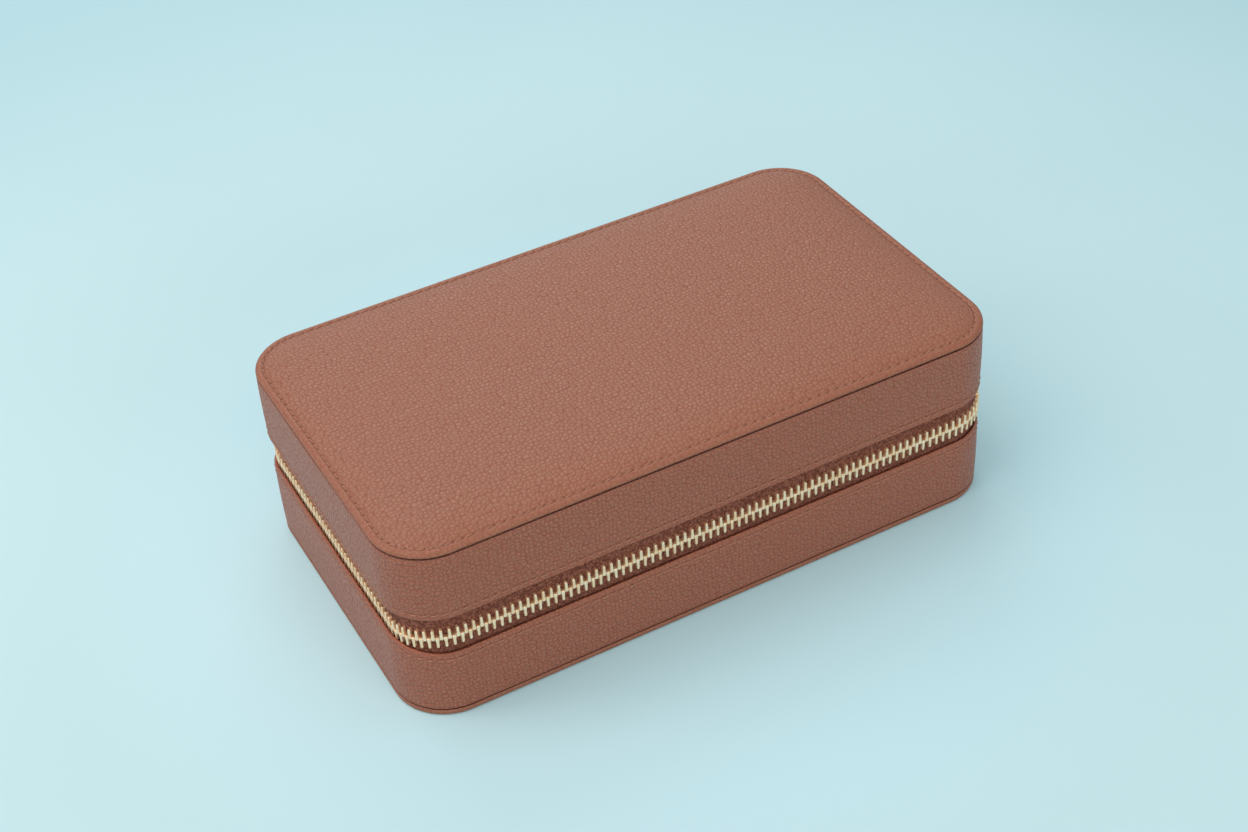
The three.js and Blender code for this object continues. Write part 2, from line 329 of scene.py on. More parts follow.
# ---- Materials ------------------------------------------------------------------------------
class Look:
    """A node material, with short ways to add and join nodes."""

    def __init__(self, name):
        self.material = bpy.data.materials.new(name)
        self.material.use_nodes = True
        self.tree = self.material.node_tree
        self.shader = self.tree.nodes["Principled BSDF"]

    def add(self, kind, inputs=None, **settings):
        node = self.tree.nodes.new(kind)
        for key, value in settings.items():
            setattr(node, key, value)
        for key, value in (inputs or {}).items():
            self.put(node.inputs[key], value)
        return node

    def put(self, socket, value):
        if isinstance(value, bpy.types.NodeSocket):
            self.tree.links.new(value, socket)
        else:
            socket.default_value = value

    def set(self, **values):
        for key, value in values.items():
            self.put(self.shader.inputs[key.replace("_", " ")], value)

    def maths(self, operation, *values, clamp=False):
        node = self.add("ShaderNodeMath", dict(enumerate(values)), operation=operation,
                        use_clamp=clamp)
        return node.outputs[0]

    def ramp(self, value, low, high, to_low=0.0, to_high=1.0):
        """A smooth step from to_low, where value is low, to to_high, where it is high."""
        inputs = {"Value": value, 1: low, 2: high, 3: to_low, 4: to_high}
        node = self.add("ShaderNodeMapRange", inputs, interpolation_type="SMOOTHSTEP")
        return node.outputs[0]

    def mix(self, share, first, second, blend="MIX"):
        inputs = {0: share, 6: first, 7: second}
        node = self.add("ShaderNodeMix", inputs, data_type="RGBA", blend_type=blend)
        return node.outputs[2]

    def shade(self, color, other, value, *steps):
        """A colour that turns to another over a smooth step of value."""
        return self.mix(self.ramp(value, *steps), color, other)

    def map(self, name):
        return self.add("ShaderNodeUVMap", uv_map=name).outputs[0]

    def vector(self, operation, *values, out="Vector"):
        node = self.add("ShaderNodeVectorMath", dict(enumerate(values)), operation=operation)
        return node.outputs[out]

    def attribute(self, name):
        return self.add("ShaderNodeAttribute", attribute_name=name).outputs["Fac"]

    def split(self, vector):
        return self.add("ShaderNodeSeparateXYZ", {0: vector}).outputs

    def place(self):
        """The piece's own coordinates, in millimetres."""
        coordinate = self.add("ShaderNodeTexCoord").outputs["Object"]
        return self.vector("MULTIPLY", coordinate, (1 / MM,) * 3)

    def noise(self, vector, scale, detail=2.0, roughness=0.5):
        inputs = {"Vector": vector, "Scale": scale, "Detail": detail, "Roughness": roughness}
        return self.add("ShaderNodeTexNoise", inputs).outputs["Fac"]

    def voronoi(self, vector, scale, feature="F1", dimensions="2D", randomness=1.0, out=0):
        inputs = {"Vector": vector, "Scale": scale, "Randomness": randomness}
        node = self.add("ShaderNodeTexVoronoi", inputs, feature=feature,
                        voronoi_dimensions=dimensions)
        return node.outputs[out]

    def cell_tone(self, vector, scale, randomness=1.0):
        """A different value from 0 to 1 in each cell."""
        color = self.voronoi(vector, scale, randomness=randomness, out=1)
        return self.add("ShaderNodeSeparateColor", {0: color}).outputs[0]

    def bump(self, height, millimetres, under=None):
        inputs = {"Height": height, "Distance": millimetres * MM, "Strength": 1.0}
        if under is not None:
            inputs["Normal"] = under
        return self.add("ShaderNodeBump", inputs).outputs[0]


def rgb(red, green, blue):
    """A colour given as 0 to 255 in sRGB, made linear."""
    return tuple(((c / 255 + 0.055) / 1.055) ** 2.4 for c in (red, green, blue)) + (1.0,)


LEATHER_TAN = rgb(155, 93, 70)
LEATHER_LIGHT = rgb(166, 106, 83)
LEATHER_DEEP = rgb(143, 77, 56)
LEATHER_EDGE = rgb(158, 93, 66)
LEATHER_OLIVE = rgb(157, 104, 74)
# Painted shade inside the needle holes.
HOLE_SHADE_COLOR = rgb(106, 56, 43)
# Painted shadow: the colour put on the leather's edges down in the seams between panel and wall.
SEAM_SHADOW_COLOR = rgb(82, 41, 33)


def pebbled_leather(name, cell, depth, tint):
    """Pebbled hide: low domes with thin creases between them, flattened at turned edges.
    Its colour is darker in the creases as painted shade and lighter on the dome tops as painted
    sheen.
    """
    look = Look(name)
    grain = look.map("grain")
    shift = look.add("ShaderNodeTexNoise", {"Vector": grain, "Scale": 0.4, "Detail": 2.0})
    wander = look.vector("SUBTRACT", shift.outputs["Color"], (0.5, 0.5, 0.5))
    place = look.vector("ADD", grain, look.vector("MULTIPLY", wander, (1.5, 1.5, 1.5)))
    dome = look.voronoi(place, 1 / cell, "F1", randomness=0.8)
    crease = look.voronoi(place, 1 / cell, "DISTANCE_TO_EDGE", randomness=0.8)
    tone = look.cell_tone(place, 1 / cell, 0.8)
    rise = look.maths("SUBTRACT", 1.0, look.maths("POWER", dome, 2.0), clamp=True)
    groove = look.ramp(crease, -0.06, 0.32, 0.47, 1.0)
    pebble = look.maths("MULTIPLY", rise, groove)
    pebble = look.maths("MULTIPLY", pebble, look.ramp(tone, 0, 1, 0.72, 1.0))
    fine = look.noise(grain, 4.0, 3.0, 0.6)
    patch = look.noise(grain, 0.55, 3.0, 0.6)
    drift = look.noise(grain, 0.03, 2.0)
    edge = look.attribute("turned_edge")
    height = look.maths("MULTIPLY", pebble, look.ramp(edge, 0, 1, 1.0, 0.65))
    # Painted shade: darker in the creases between the domes, over each cell's own random tone.
    color = look.shade(LEATHER_DEEP, LEATHER_TAN, pebble, 0.15, 0.6)
    # Painted sheen: lighter on the dome tops.
    color = look.shade(color, LEATHER_LIGHT, pebble, 0.45, 0.95)
    color = look.shade(color, LEATHER_OLIVE, patch, 0.4, 0.65, 0.0, 0.6)
    color = look.shade(color, LEATHER_EDGE, drift, 0.35, 0.65, 0.0, 0.2)
    color = look.mix(look.maths("MULTIPLY", edge, 0.25), color, LEATHER_EDGE)
    color = look.shade(color, LEATHER_DEEP, fine, 0.3, 0.7, 0.0, 0.12)
    color = look.mix(1.0, color, tint, "MULTIPLY")
    normal = look.bump(fine, 0.02, look.bump(height, depth))
    color, normal = stitch_holes(look, color, normal)
    # Painted shadow down in the seam, where a panel's edge meets a wall's.
    color = look.mix(look.attribute("painted_seam_shadow"), color, SEAM_SHADOW_COLOR)
    roughness = look.ramp(height, 0.0, 1.0, 0.58, 0.33)
    look.set(Base_Color=color, Roughness=roughness, Normal=normal)
    look.set(Specular_IOR_Level=0.5)
    return look.material


def stitch_holes(look, color, normal):
    """Needle holes between the stitches, pressed in, with the shade inside them painted dark."""
    steps, away = look.split(look.map("stitch"))[:2]
    step = look.maths("FRACT", look.maths("ADD", steps, 0.5))
    off = look.maths("MULTIPLY", look.maths("SUBTRACT", step, 0.5), STITCH_PITCH)
    far = look.maths("SQRT", look.maths("ADD", look.maths("POWER", off, 2.0),
                                        look.maths("POWER", away, 2.0)))
    hole_dent_and_shade = look.ramp(far, 0.5, 0.2)
    # Painted shade in each needle hole.
    color = look.mix(look.maths("MULTIPLY", hole_dent_and_shade, 0.65), color, HOLE_SHADE_COLOR)
    return color, look.bump(hole_dent_and_shade, -0.12, normal)


def smooth_leather(name):
    """Finer, flatter leather, for straps."""
    look = Look(name)
    place = look.place()
    cells = look.voronoi(place, 1.6, "F1", "3D", 0.9)
    fine = look.noise(place, 4.0, 4.0, 0.6)
    drift = look.noise(place, 0.08, 2.0)
    pebble = look.ramp(cells, 0.7, 0.1)
    # Painted shade: darker in the creases round each cell.
    color = look.shade(LEATHER_EDGE, LEATHER_DEEP, pebble, 0, 1, 0.35, 0.0)
    color = look.shade(color, LEATHER_TAN, drift, 0.3, 0.7, 0.0, 0.4)
    normal = look.bump(fine, 0.02, look.bump(pebble, 0.06))
    look.set(Base_Color=color, Roughness=look.ramp(fine, 0.3, 0.7, 0.42, 0.56), Normal=normal)
    return look.material


def thread(name, tint):
    """Twisted thread: fine slanting plies, slightly fuzzy."""
    look = Look(name)
    place = look.place()
    mixed = look.vector("DOT_PRODUCT", place, (1.0, 1.0, 0.8), out="Value")
    ply = look.maths("SINE", look.maths("MULTIPLY", mixed, 14.0))
    fuzz = look.noise(place, 6.0, 3.0)
    dark = tuple(c * 0.62 for c in tint[:3]) + (1.0,)
    color = look.shade(dark, tint, ply, -1, 1)
    color = look.shade(color, LEATHER_LIGHT, fuzz, 0.35, 0.7, 0.0, 0.3)
    look.set(Base_Color=color, Roughness=0.62, Normal=look.bump(ply, 0.03))
    return look.material


def woven_tape(name):
    """Zip tape: a tight twill of dark red-brown yarn."""
    look = Look(name)
    grain = look.map("grain")
    along, across = look.split(grain)[:2]
    slope = look.maths("ADD", along, look.maths("MULTIPLY", across, 0.8))
    twill = look.maths("SINE", look.maths("MULTIPLY", slope, 2 * math.pi / 0.62))
    weft = look.maths("SINE", look.maths("MULTIPLY", across, 2 * math.pi / 0.42))
    weave = look.maths("ADD", look.maths("MULTIPLY", twill, 0.6),
                       look.maths("MULTIPLY", weft, 0.4))
    fuzz = look.noise(grain, 2.1, 5.0, 0.8)
    loop = look.cell_tone(grain, 2.1)
    color = look.shade(rgb(84, 38, 28), rgb(142, 80, 62), weave, -1, 1)
    color = look.shade(color, rgb(172, 108, 86), fuzz, 0.48, 0.6, 0.0, 0.6)
    color = look.shade(color, rgb(180, 118, 96), loop, 0.5, 1.0, 0.0, 0.5)
    color = look.shade(color, rgb(64, 28, 22), loop, 0.5, 0.0, 0.0, 0.55)
    normal = look.bump(weave, 0.09)
    look.set(Base_Color=color, Roughness=0.9, Normal=look.bump(fuzz, 0.16, normal))
    look.set(Specular_IOR_Level=0.2)
    return look.material


def pale_gold(name):
    """Light gold plating, with the small scratches and dull patches of handling."""
    look = Look(name)
    place = look.place()
    patch = look.noise(place, 0.5, 3.0)
    scratch = look.noise(look.vector("MULTIPLY", place, (9.0, 2.0, 1.2)), 1.0, 4.0, 0.7)
    color = look.shade(rgb(255, 217, 174), rgb(255, 231, 198), patch, 0.35, 0.65)
    rough = look.ramp(look.maths("ADD", patch, scratch), 0.7, 1.3, 0.3, 0.44)
    look.set(Base_Color=color, Roughness=rough, Normal=look.bump(scratch, 0.012))
    look.set(Metallic=0.72)
    return look.material


def suede(name, tint, shade, depth=0.05):
    """Brushed suede cloth: a short nap with soft light and dark strokes."""
    look = Look(name)
    place = look.place()
    nap = look.noise(place, 3.2, 5.0, 0.7)
    stroke = look.noise(place, 0.09, 3.0, 0.55)
    color = look.shade(tint, shade, stroke, 0.35, 0.65)
    color = look.shade(color, shade, nap, 0.3, 0.7, 0.0, 0.35)
    look.set(Base_Color=color, Roughness=0.93, Normal=look.bump(nap, depth))
    look.set(Sheen_Weight=0.4, Sheen_Roughness=0.45)
    return look.material


def grey_board(name):
    """Pressed board: flecked grey-brown pulp."""
    look = Look(name)
    place = look.place()
    pulp = look.noise(place, 1.4, 6.0, 0.7)
    fleck = look.ramp(look.voronoi(place, 0.8, "F1", "3D"), 0.12, 0.05)
    color = look.shade(rgb(128, 118, 106), rgb(164, 154, 140), pulp, 0.3, 0.7)
    color = look.mix(look.maths("MULTIPLY", fleck, 0.6), color, rgb(84, 74, 64))
    look.set(Base_Color=color, Roughness=0.95, Normal=look.bump(pulp, 0.08))
    return look.material


def open_foam(name):
    """Open-cell foam: pale, with small dark pores."""
    look = Look(name)
    place = look.place()
    pore = look.ramp(look.voronoi(place, 1.5, "DISTANCE_TO_EDGE", "3D"), 0.02, 0.16)
    color = look.mix(pore, rgb(240, 235, 220), rgb(206, 196, 172))
    look.set(Base_Color=color, Roughness=0.95, Normal=look.bump(pore, -0.2))
    return look.material


LEATHER = pebbled_leather("pebbled leather", 1.4, 0.22, (0.9, 0.89, 0.855, 1))
WALL_LEATHER = pebbled_leather("wall leather", 1.35, 0.45, (1, 0.88, 0.86, 1))
STRAP = smooth_leather("strap leather")
THREAD = thread("leather thread", rgb(188, 132, 106))
TAPE = woven_tape("zip tape")
GOLD = pale_gold("pale gold")
LINING = suede("lining suede", rgb(208, 191, 173), rgb(194, 176, 158))
ROLL_CLOTH = suede("ring roll suede", rgb(214, 198, 180), rgb(200, 183, 165), 0.08)
BOARD = grey_board("stiffening board")
FOAM = open_foam("padding foam")


def dress(nodes, material):
    """Gives CAD nodes that stay as they are a finished material."""
    for node in nodes:
        mesh_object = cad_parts[node]
        for place in mesh_object.material_slots:
            place.link = "OBJECT"
            place.material = material


# ---- Finishing a piece, and its unevenness --------------------------------------------------
def settle(piece, body, slot, *nodes):
    """Puts a piece on its body, in place of its CAD nodes. slot is not used."""
    if nodes:
        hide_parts(*nodes)
    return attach(piece, body)


def soft_noise(points, scale, seed):
    """Smooth values between about -1 and 1 at these points."""
    flat = np.asarray(points, float).reshape(-1, 3) / scale
    values = [noise.noise(Vector((x + seed, y, z))) for x, y, z in flat]
    return np.array(values).reshape(np.shape(points)[:-1])


def flat_noise(x, y, scale, seed):
    """Soft noise over a flat surface."""
    return soft_noise(points_at(x, y, 0.0), scale, seed)


def track_noise(distance, height, scale, seed):
    """Soft noise at these heights on the case's outline."""
    x, y = on_track(distance)[0].T[:, :, None]
    return soft_noise(points_at(x, y, height), scale, seed)


def smooth_step(values, low, high):
    share = np.clip((np.asarray(values, float) - low) / (high - low), 0, 1)
    return share * share * (3 - 2 * share)


def dip(values, middle, width):
    return np.exp(-((np.asarray(values, float) - middle) / width) ** 2)


def tucked(distance):
    """1 along the left-hand side, where the walls' edges close over the zip, and 0 elsewhere."""
    return smooth_step(-np.abs(np.asarray(distance, float) - LEFT_MIDDLE), -64, -40)


OUTER_FACE = 0.6


def uneven(amount, scale, seed):
    """Lets a swept skin's outer face, at an inset below OUTER_FACE, wave in and out a little."""
    def ripple(distance, inset, height):
        wave = amount * track_noise(distance, height, scale, seed)
        return inset + wave * (inset < OUTER_FACE), height
    return ripple


# ---- Walls ----------------------------------------------------------------------------------
WALL_EDGE = 0.5
STITCH_GROOVE = 0.16
UNSEWN = 50.0   # a distance from the stitch line at which no needle holes show


def wall(body, seam, rim, step, line_from_rim, seed, reach):
    """A wall's leather, turned in at the panel's seam and over the edge of the zip tape. Its
    profile is drawn with t, the distance from the seam. Its edge stands reach further over
    the zip where that is tucked in."""
    length, up = abs(rim - seam), np.sign(rim - seam)
    line, edge = length - line_from_rim, WALL_EDGE
    near = line + np.array([-1.4, -0.9, -0.55, -0.3, -0.12, 0.12, 0.3, 0.55, 0.9])
    face = np.concatenate([[edge, 0.9, 1.6], np.linspace(2.6, line - 2.2, 9), near,
                           [length - edge - 0.02]])
    inset = (-0.16 * np.sin(math.pi * face / length) + STITCH_GROOVE * dip(face, line, 0.42)
             + 0.1 * dip(face, 0, 0.9))
    foot = arc((edge, edge), edge, 270, 180, 3)[:-1]
    nose = arc((edge, length - edge), edge, 180, 0, 8)
    behind = [(1.0, step), (1.9, step), (1.9, 0)]
    profile = np.array(foot + list(zip(inset, face)) + nose[1:] + behind)
    shown = np.arange(len(profile)) < len(foot) + len(face) + 5
    away = np.where(shown, profile[:, 1] - line, UNSEWN)
    turned = np.where(shown, 0.6 * smooth_step(profile[:, 1], line - 0.9, line + 0.3), 0.5)
    turned = np.maximum(turned, 0.8 * smooth_step(-profile[:, 1], -1.2, -0.3))
    # Painted shadow on the wall's edge where it runs down into the seam at the panel.
    seam_shadow_share = 0.85 * smooth_step(-profile[:, 1], -0.3, -0.05) * shown
    profile[:, 1] = seam + up * profile[:, 1]
    marks = (away, turned, seam_shadow_share, stitch_pitch(0))
    wave = uneven(0.09, 26, seed)
    stretch = up * reach * smooth_step(np.abs(profile[:, 1] - seam), line - 7, line - 1)
    stretch[-len(behind):] = 0

    def ripple(distance, inset, height):
        inset, height = wave(distance, inset, height)
        return inset, height + stretch * tucked(distance)[:, None]

    skin = sweep(f"{body}_wall_skin", profile, WALL_LEATHER, ripple, marks=marks)
    settle(skin, body, "leather", f"{body}_wall_leather")
    sewing = seam_stitches(f"{body}_wall_stitches", STITCH_GROOVE - 0.1, seam + up * line,
                           "out", THREAD, up * reach)
    settle(sewing, body, "leather")


TAPE_UNDER = 3.0
wall("base", BASE_FOOT, BASE_TOP, BASE_TOP - TAPE_UNDER - 0.3 - BASE_FOOT, 2.4, 3.0, 2.4)
wall("lid", LID_TOP, LID_FOOT, LID_TOP - LID_FOOT - TAPE_UNDER - 0.3, 2.0, 11.0, 0.2)


# ---- Cover panels ---------------------------------------------------------------------------
def inset_of(flat):
    """How far each of these points lies inside the case's outline."""
    past = np.abs(flat) - (np.array([HALF_X, HALF_Y]) - CORNER)
    outside = np.linalg.norm(np.maximum(past, 0), axis=-1)
    return CORNER - outside - np.minimum(past.max(-1), 0)


def plate(name, rows, material, marks=None):
    """A closed plate in the outline of the case. Each row is (inset, share, level): the
    outline moved inwards by inset, then drawn in to share of its size, at a level that is a
    height or a function of the points. The rows run from the middle of the shown face, over
    the edge, to the middle of the hidden one."""
    along = stations(straight_step=3.0)
    base, normal = on_track(along[:-1])
    points, grain, reach, before = [], [], None, None
    for inset, share, level in rows:
        flat = (base - normal * inset) * share
        height = level(flat) if callable(level) else np.full(len(flat), float(level))
        points.append(np.column_stack([flat, height]))
        spot = np.array([inset, height.mean()])
        if share < 1 or reach is None or reach <= -4:
            grain.append(flat)
            reach = inset if share == 1 else reach
        else:
            reach -= np.linalg.norm(spot - before)
            grain.append(base - normal * reach)
        before = spot
        if share < 1:
            reach = None
    points, grain = np.stack(points, 1), np.stack(grain, 1)
    return grid(name, points, along, np.zeros(len(rows)), material, True, False, marks, grain)


def crown(flat, inset, rise, power):
    """A rise that is nothing at the inset and fullest in the middle."""
    share = np.abs(flat) / (np.array([HALF_X, HALF_Y]) - inset)
    return rise * np.prod(1 - np.clip(share, 0, 1) ** power, axis=-1)


PANEL_LINE = 2.4
MIDDLE_SHARES = [0.03, *np.linspace(0.09, 0.93, 13)]
FACE_INSETS = [9.0, 7.6, 6.4, 5.4, 4.6, 4.0, 3.5, 3.1, 2.85, 2.65, 2.5, 2.3, 2.15, 1.95, 1.75,
               1.5]
TOP_FACE = TOP - 0.36


def top_height(flat):
    """The padded top: a turned edge, a sewn groove, and leather that swells inside it."""
    inset = inset_of(flat)
    waves = 0.16 * flat_noise(*flat.T, 34, 5.0) + 0.05 * flat_noise(*flat.T, 11, 9.0)
    band = 0.05 * np.sin(math.pi * np.clip((inset - 1.3) / 1.1, 0, 1))
    swell = 1.7 * (1 - np.exp(-np.maximum(inset - PANEL_LINE - 0.2, 0) / 6.5))
    return (TOP_FACE + band - 0.2 * dip(inset, PANEL_LINE, 0.4) + swell
            + crown(flat, PANEL_LINE + 0.4, 0.35, 5) + waves * smooth_step(inset, 3.4, 9))


def under_height(flat):
    return 0.45 * dip(inset_of(flat), PANEL_LINE, 0.6)


def cover_marks(rows):
    """The stitch line, turned edge and painted seam shadow of a cover panel's rows."""
    insets = np.array([inset if share == 1 else 40 for inset, share, _ in rows], float)
    hidden = np.cumsum([inset <= 0.01 for inset in insets]) > 1
    line = np.where(hidden, UNSEWN, insets - PANEL_LINE)
    turned = np.where(hidden, 0.6, smooth_step(-insets, -PANEL_LINE - 0.9, -PANEL_LINE + 0.2))
    # Painted shadow on the panel's edge rows that lie down in the seam.
    seam_shadow_share = np.where(hidden, 0.85 * smooth_step(insets, 0.1, 0.35), 0.0)
    return line, turned, seam_shadow_share, stitch_pitch(PANEL_LINE)


def cover_rows(height, face, seam, outer_radius, inner_radius):
    """A panel's rows. face is its outermost level and seam the level against the wall."""
    up = np.sign(face - seam)
    outer = [(x, 1, seam + up * z) for x, z in
             arc((outer_radius, abs(face - seam) - outer_radius), outer_radius, 90, 180, 6)]
    inner = [(x, 1, seam + up * z) for x, z in
             arc((inner_radius, inner_radius), inner_radius, 180, 270, 4)]
    middle = [(FACE_INSETS[0], share, height) for share in MIDDLE_SHARES]
    edge = [(inset, 1, height) for inset in FACE_INSETS]
    hidden = [(8, 1, seam), (8, 0.6, seam), (8, 0.03, seam)]
    return middle + edge + outer + inner + hidden


top_rows = cover_rows(top_height, TOP_FACE, TOP_SEAM, 1.3, 0.5)
top_skin = plate("top_panel_skin", top_rows, LEATHER, cover_marks(top_rows))
settle(top_skin, "lid", "leather", "top_panel")
settle(seam_stitches("top_panel_stitches", PANEL_LINE, TOP_FACE - 0.14, "up", THREAD),
       "lid", "leather")

under_rows = cover_rows(under_height, 0.0, BOTTOM_SEAM, 0.9, 0.4)
under_skin = plate("bottom_panel_skin", under_rows, LEATHER, cover_marks(under_rows))
settle(under_skin, "base", "leather", "bottom_panel")
settle(seam_stitches("bottom_panel_stitches", PANEL_LINE, 0.42, "down", THREAD),
       "base", "leather")


# ---- Hinge strip ----------------------------------------------------------------------------
def hinge_strip():
    """One strip between the walls, creased by bending, whose thinner edges are sewn in."""
    low, high = BASE_TOP + 0.3, LID_FOOT - 0.3
    face = np.linspace(low + 0.5, high - 0.5, 15)
    inset = 0.04 + 0.09 * np.cos((face - ZIP_Z) * 2 * math.pi / 2.4) * dip(face, ZIP_Z, 4)
    outer = (arc((0.5, low + 0.5), 0.5, 270, 180, 4)[:-1] + list(zip(inset, face))
             + arc((0.5, high - 0.5), 0.5, 180, 90, 4)[1:])
    sewn_top = [(1.3, high), (1.3, TAPE_TOP), (1.9, TAPE_TOP)]
    back = [(1.9, z) for z in np.linspace(high, low, 17)]
    sewn_foot = [(1.9, TAPE_FOOT), (1.3, TAPE_FOOT), (1.3, low)]
    profile = outer + sewn_top + back + sewn_foot
    one = np.ones(len(profile))
    marks = (UNSEWN * one, 0.4 * one, 0 * one, STITCH_PITCH)
    strip = sweep("hinge_strip_skin", profile, WALL_LEATHER, uneven(0.1, 9, 21.0),
                  np.linspace(-SPINE, SPINE, 49), marks)
    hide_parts("hinge_strip")
    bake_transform(strip)


hinge_strip()


# ---- Zip ------------------------------------------------------------------------------------
PARTED = 7.0
TUCK_DEPTH = 1.3
TUCK_SINK = 2.1


def chain_level(distance):
    """How far the zip's middle line strays from its level at these distances along it."""
    distance = np.atleast_1d(np.asarray(distance, float))
    sag = -0.33 * smooth_step(distance, RIGHT_MIDDLE + 14, RIGHT_MIDDLE + 60)
    sag = sag * smooth_step(-distance, -ZIP_END + 4, -ZIP_END + 45)
    wander = 0.13 * flat_noise(distance, 0, 31, 2.0) + 0.05 * flat_noise(distance, 0, 9, 7.0)
    settled = smooth_step(np.abs(distance - RIGHT_MIDDLE), 12, 30)
    return sag + wander * settled - TUCK_SINK * tucked(distance)


def slider_run(distance):
    """1 where the sliders' posts run between the tapes, and 0 elsewhere on the zip."""
    return smooth_step(-np.abs(np.asarray(distance) - RIGHT_MIDDLE), -43, -40)


def parting(distance):
    """Half the gap between the two rows, which part round the sliders' posts."""
    return 1.35 * smooth_step(-np.abs(np.asarray(distance) - RIGHT_MIDDLE), -PARTED, -3.0)


def zip_tape(body, side):
    """side is -1 for the tape below the zip and 1 for the one above."""
    hidden = TAPE_FOOT if side < 0 else TAPE_TOP
    under = abs(hidden - ZIP_Z)
    wall_end = abs((BASE_TOP if side < 0 else LID_FOOT) - ZIP_Z)
    outer = [(1.3, under), (1.3, wall_end + 0.4), (1.12, wall_end - 0.3), (1.0, 5.2),
             (0.98, 4.4), (0.98, 3.6), (1.0, 2.8), (1.0, 2.0), (0.98, 1.2), (0.98, 0.8),
             (1.15, 0.5)]
    inner = [(1.7, 0.5), (1.9, 0.8), (1.9, 2.8), (1.9, 4.4), (1.9, wall_end), (1.9, under)]
    profile = np.array(outer + inner)
    loose = smooth_step(-profile[:, 1], -wall_end, -3.0)
    profile[:, 1] = ZIP_Z + side * profile[:, 1]

    def ripple(distance, inset, height):
        shift = chain_level(distance)[:, None] + side * parting(distance)[:, None]
        wave = 0.07 * flat_noise(distance[:, None], height, 7, 13.0 + side)
        short = 0.9 * np.maximum(1.55 - np.abs(height - ZIP_Z), 0) * slider_run(distance)[:, None]
        tuck = TUCK_DEPTH * tucked(distance)[:, None]
        return inset + (wave + tuck) * loose, height + shift * loose + side * short

    tape = sweep(f"{body}_zip_weave", profile, TAPE, ripple,
                 stations(ZIP_START, ZIP_END, 2.5, 0.9))
    settle(tape, body, "zip_tape", f"{body}_zip_tape")


TOOTH_OUTLINE = [(0.0, 3.2), (0.26, 3.14), (0.4, 2.9), (0.44, 2.6), (0.44, 1.1), (0.58, 0.6),
                 (0.59, -0.1), (0.47, -0.36), (0.21, -0.46)]
TOOTH_SECTIONS = [(-0.16, 0.2), (-0.1, 0.08), (0.06, 0.0), (2.42, 0.0), (2.6, 0.16)]
TOOTH_MIDDLE = 1.4


def zip_teeth(body, side):
    """A row of cast teeth, gripping the tape's edge and meeting the other row's heads."""
    x, z = np.array(TOOTH_OUTLINE + [(-x, z) for x, z in TOOTH_OUTLINE[:0:-1]]).T
    reach = np.maximum(np.hypot(x, z - TOOTH_MIDDLE), 0.6)
    count = int((ZIP_END - ZIP_START) / TOOTH_PITCH) - 1
    start = (ZIP_START + ZIP_END - count * TOOTH_PITCH) / 2
    at = start + (np.arange(count) + (0.5 if side > 0 else 0.0)) * TOOTH_PITCH
    base, normal = on_track(at)
    tangent = np.column_stack([normal[:, 1], -normal[:, 0]])
    lean = 0.05 * flat_noise(at, 0, 5, 17.0 + side)
    level = ZIP_Z + chain_level(at) + side * parting(at)
    sections = []
    for inset, bevel in TOOTH_SECTIONS:
        wide = np.sign(x) * np.maximum(np.abs(x) - bevel, 0)
        tall = TOOTH_MIDDLE + (z - TOOTH_MIDDLE) * (1 - bevel / reach)
        deep = inset + TUCK_DEPTH * tucked(at)[:, None, None]
        flat = (base[:, None] - normal[:, None] * deep
                + tangent[:, None] * (wide + lean[:, None] * tall)[:, :, None])
        height = level[:, None] + side * tall
        sections.append(np.concatenate([flat, height[:, :, None]], 2))
    points = np.stack(sections, 1)
    depth, around = points.shape[1:3]
    faces = repeated(tube_faces(depth, around), count, depth * around)
    teeth = object_from(f"{body}_zip_cast_teeth", points.reshape(-1, 3), faces, GOLD, False)
    face_outwards(teeth)
    settle(teeth, body, "zip_metal", f"{body}_zip_teeth")


for zip_body, zip_side in (("base", -1), ("lid", 1)):
    zip_tape(zip_body, zip_side)
    zip_teeth(zip_body, zip_side)


# ---- Sliders and pulls ----------------------------------------------------------------------
def inward(outline, by):
    """A convex outline, drawn anticlockwise, moved inwards."""
    outline = np.asarray(outline, float)
    ahead = unit(np.roll(outline, -1, 0) - outline)
    side = np.column_stack([-ahead[:, 1], ahead[:, 0]])
    both = side + np.roll(side, 1, 0)
    return outline + both * (by / np.maximum((both * side).sum(1), 0.3))[:, None]


def slab(outline, low, high, bevel):
    """Points and faces of a plate with rounded edges."""
    turns = np.radians([0, 30, 60, 90])
    heights = [(bevel * (1 - math.sin(a)), low + bevel * (1 - math.cos(a))) for a in turns]
    heights += [(inset, high + low - z) for inset, z in reversed(heights)]
    return rings_solid([points_at(*inward(outline, inset).T, z) for inset, z in heights])


def rings_solid(rings):
    return np.vstack(rings), tube_faces(len(rings), len(rings[0]))


def strap(path, side, half_width, half_thick, around=16, square=0.45):
    """Points and faces of a flat strap along a path. half_width may change along it."""
    path, side = np.asarray(path, float), np.asarray(side, float)
    out = np.cross(unit(np.gradient(path, axis=0)), side)
    half_width = np.broadcast_to(half_width, len(path))
    half_thick = np.broadcast_to(half_thick, len(path))
    angle = circle_angles(around) + math.pi / around
    wide, thick = squared_off(np.cos(angle), square), squared_off(np.sin(angle), square)
    rings = [p + np.outer(wide * w, side) + np.outer(thick * t, o)
             for p, o, w, t in zip(path, out, half_width, half_thick)]
    return rings_solid(rings)


def assembly(name, shapes, material, matrix=None):
    """Several solids as one piece, moved by a 4 by 4 matrix in millimetres."""
    faces, count = [], 0
    for shape_points, shape_faces in shapes:
        faces += [[count + v for v in face] for face in shape_faces]
        count += len(shape_points)
    points = np.vstack([shape_points for shape_points, _ in shapes])
    if matrix is not None:
        points = points @ matrix[:3, :3].T + matrix[:3, 3]
    piece = object_from(name, points, faces, material)
    face_outwards(piece)
    return piece


